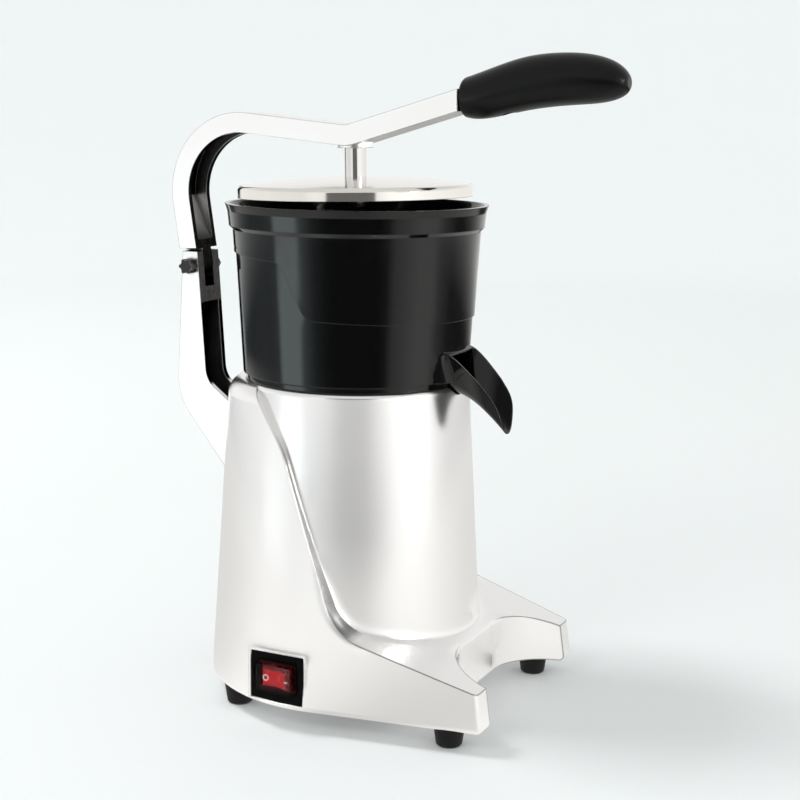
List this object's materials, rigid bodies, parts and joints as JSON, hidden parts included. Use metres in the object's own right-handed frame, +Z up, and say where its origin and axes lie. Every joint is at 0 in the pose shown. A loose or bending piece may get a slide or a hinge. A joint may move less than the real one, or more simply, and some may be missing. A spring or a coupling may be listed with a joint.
{
  "type": "lever citrus juicer",
  "caption": "Electric citrus juicer: a cast body with a motor under a black spouted bowl, and a hinged lever that presses a lidded cup onto the spinning reamer.",
  "frame": {"origin": "on the worktop, under the middle of the whole juicer's box", "axes": "+Z up; -Y to the front, with the spout and the grip; the switch is on the -X side"},
  "size_m": [0.171, 0.2684, 0.3575],
  "materials": {
    "cast_aluminium": "satin, lightly polished",
    "bowl_black": "gloss",
    "grip_black": "satin",
    "lid_steel": "polished",
    "chrome": "polished",
    "steel": "machined",
    "rubber_black": "matt",
    "plastic_black": "matt",
    "rocker_red": "gloss",
    "cap_clear": "clear and soft",
    "plastic_white": "satin",
    "copper": "enamelled wire",
    "lamination": "stacked sheet"
  },
  "bodies": {
    "base": {"body_casting": "cast_aluminium", "lever_post": "cast_aluminium", "motor_top_bracket": "cast_aluminium", "motor_bottom_bracket": "cast_aluminium", "juice_bowl": "bowl_black", "strainer": "lid_steel", "pivot_bolt": "chrome", "pivot_nut": "chrome", "upper_bearing": "chrome", "lower_bearing": "chrome", "post_screws": "steel", "base_plate": "steel", "base_plate_screws": "steel", "foot_screws": "steel", "motor_bolts": "steel", "capacitor_clip": "steel", "foot_front_left": "rubber_black", "foot_front_right": "rubber_black", "foot_rear_left": "rubber_black", "foot_rear_right": "rubber_black", "shaft_seal": "rubber_black", "switch_housing": "plastic_black", "cord_gland": "plastic_black", "gland_nut": "plastic_black", "terminal_block": "plastic_black", "switch_cap": "cap_clear", "run_capacitor": "plastic_white", "stator_windings": "copper", "motor_stator": "lamination"},
    "lever": {"lever_arm": "cast_aluminium", "pivot_bush": "copper", "lever_grip": "grip_black", "grip_screw": "steel", "presser_stem": "chrome", "splash_lid": "lid_steel", "lid_clip": "steel", "presser_cup": "cast_aluminium", "cup_screw": "steel"},
    "spindle": {"motor_shaft": "steel", "rotor": "lamination", "cooling_fan": "plastic_black", "drive_hub": "steel", "reamer": "plastic_white"},
    "rocker": {"rocker": "rocker_red"}
  },
  "joints": [
    {"name": "lever_hinge", "type": "hinge", "parent": "base", "child": "lever", "pos_m": [0, 0.12281, 0.2375], "axis": [-1, 0, 0], "range_deg": [-1.3, 90]},
    {"name": "spindle_spin", "type": "hinge", "parent": "base", "child": "spindle", "pos_m": [0, 0.01979, 0.18], "axis": [0, 0, 1], "continuous": true},
    {"name": "rocker_tilt", "type": "hinge", "parent": "base", "child": "rocker", "pos_m": [-0.0784, 0.02399, 0.0276], "axis": [0, 0, 1], "range_deg": [0, 16]}
  ]
}
